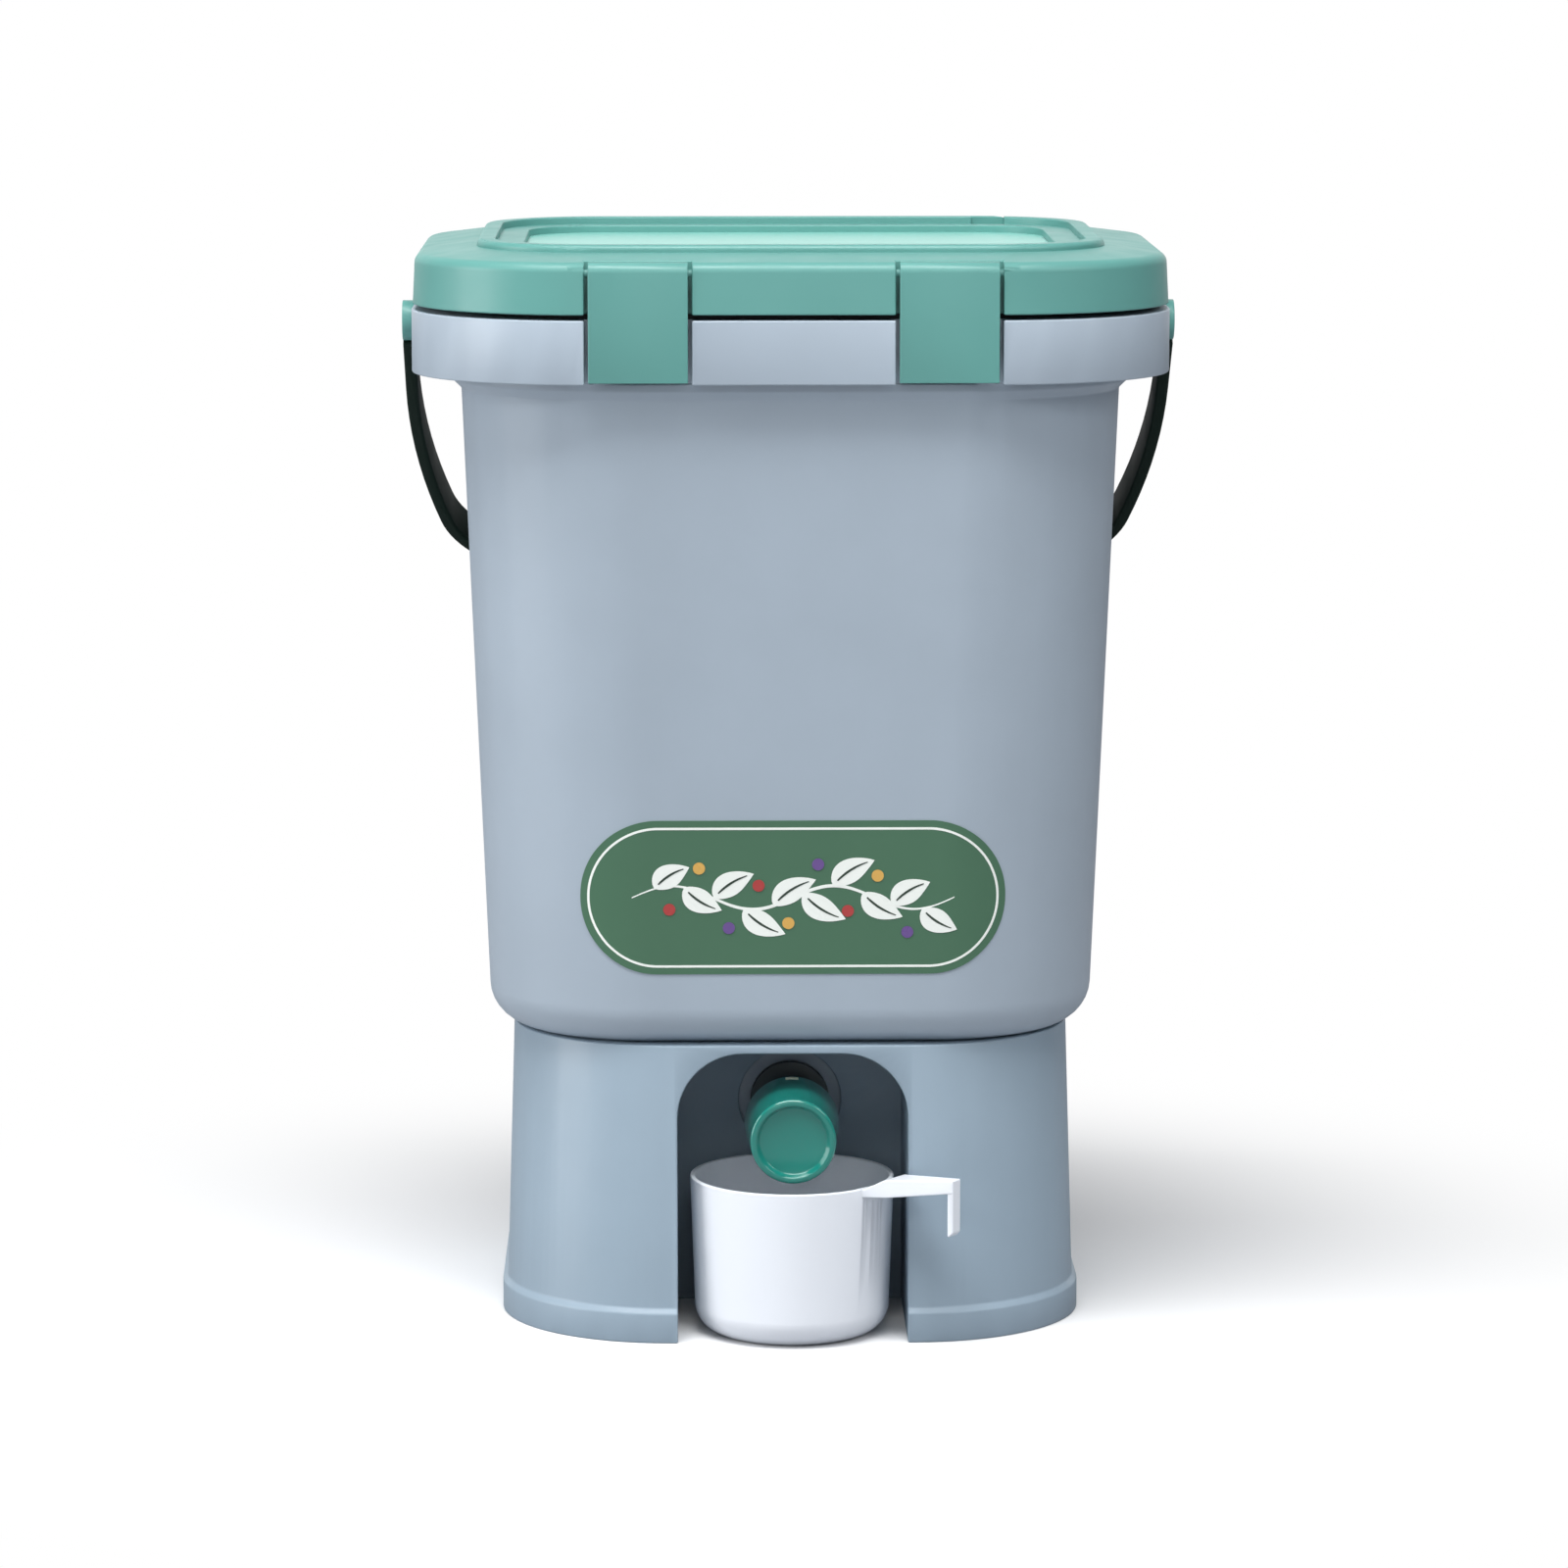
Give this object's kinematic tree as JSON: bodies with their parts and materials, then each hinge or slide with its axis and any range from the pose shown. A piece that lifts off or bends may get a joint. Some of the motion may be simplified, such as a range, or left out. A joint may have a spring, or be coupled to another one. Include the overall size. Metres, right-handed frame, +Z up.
{
  "type": "bokashi bin",
  "caption": "Kitchen compost bin with latched mint lid, swinging carry handle, sump tap and a small cup in the stand's niche.",
  "frame": {"origin": "on the floor, under the centre of the bucket", "axes": "+X right, +Y away from the tap, +Z up"},
  "size_m": [0.3004, 0.2488, 0.4185],
  "materials": {
    "tub_grey": "moulded polypropylene, fine satin",
    "stand_grey": "moulded polypropylene, fine satin",
    "lid_mint": "moulded polypropylene, satin",
    "handle_dark": "moulded polypropylene, satin",
    "tap_teal": "polished moulded plastic",
    "tap_dark": "moulded plastic",
    "cup_white": "moulded polypropylene, satin",
    "strainer_grey": "moulded polypropylene",
    "seal_rubber": "soft rubber",
    "pin_steel": "bright wire",
    "label_green": "printed, laminated sticker"
  },
  "bodies": {
    "bin": {"bucket": "tub_grey", "sump_well": "tub_grey", "base_stand": "stand_grey", "base_screws": "pin_steel", "tap_body": "tap_dark", "tap_outer_washer": "seal_rubber", "tap_inner_washer": "seal_rubber", "tap_nut": "tap_dark", "label_sticker": "label_green"},
    "lid_set": {"lid": "lid_mint", "lid_gasket": "seal_rubber", "latch_pin_front_left": "lid_mint", "latch_pin_front_right": "lid_mint", "latch_pin_back_left": "lid_mint", "latch_pin_back_right": "lid_mint"},
    "front_left_latch": {"latch_front_left": "lid_mint"},
    "front_right_latch": {"latch_front_right": "lid_mint"},
    "back_left_latch": {"latch_back_left": "lid_mint"},
    "back_right_latch": {"latch_back_right": "lid_mint"},
    "bail": {"carry_handle": "handle_dark", "handle_end_left": "lid_mint", "handle_end_right": "lid_mint"},
    "tap_turner": {"tap_knob": "tap_teal", "tap_plug": "tap_dark", "tap_o_ring": "seal_rubber"},
    "cup": {"leachate_cup": "cup_white"},
    "strainer": {"strainer_plate": "strainer_grey"}
  },
  "joints": [
    {"name": "lid_lift", "type": "slide", "parent": "bin", "child": "lid_set", "axis": [0, 0, 1], "range_m": [0, 0.05]},
    {"name": "bail_swing", "type": "hinge", "parent": "bin", "child": "bail", "pos_m": [0, 0, 0.3835], "axis": [1, 0, 0], "range_deg": [0, 265]},
    {"name": "tap_turn", "type": "hinge", "parent": "bin", "child": "tap_turner", "pos_m": [0, -0.08, 0.08], "axis": [0, 1, 0], "range_deg": [0, 90]},
    {"name": "cup_slide", "type": "slide", "parent": "bin", "child": "cup", "axis": [0, -1, 0], "range_m": [0, 0.15]},
    {"name": "strainer_lift", "type": "slide", "parent": "bin", "child": "strainer", "axis": [0, 0, 1], "range_m": [0, 0.2]},
    {"name": "front_left_latch_flip", "type": "hinge", "parent": "lid_set", "child": "front_left_latch", "pos_m": [-0.0578, -0.1166, 0.4094], "axis": [-1, 0, 0], "range_deg": [0, 125]},
    {"name": "front_right_latch_flip", "type": "hinge", "parent": "lid_set", "child": "front_right_latch", "pos_m": [0.0578, -0.1166, 0.4094], "axis": [-1, 0, 0], "range_deg": [0, 125]},
    {"name": "back_left_latch_flip", "type": "hinge", "parent": "lid_set", "child": "back_left_latch", "pos_m": [-0.0578, 0.1166, 0.4094], "axis": [1, 0, 0], "range_deg": [0, 125]},
    {"name": "back_right_latch_flip", "type": "hinge", "parent": "lid_set", "child": "back_right_latch", "pos_m": [0.0578, 0.1166, 0.4094], "axis": [1, 0, 0], "range_deg": [0, 125]}
  ],
  "couplings": [
    {"joint": "front_left_latch_flip", "follows": "lid_lift", "rad_per_m": 43.6},
    {"joint": "front_right_latch_flip", "follows": "lid_lift", "rad_per_m": 43.6},
    {"joint": "back_left_latch_flip", "follows": "lid_lift", "rad_per_m": 43.6},
    {"joint": "back_right_latch_flip", "follows": "lid_lift", "rad_per_m": 43.6}
  ]
}
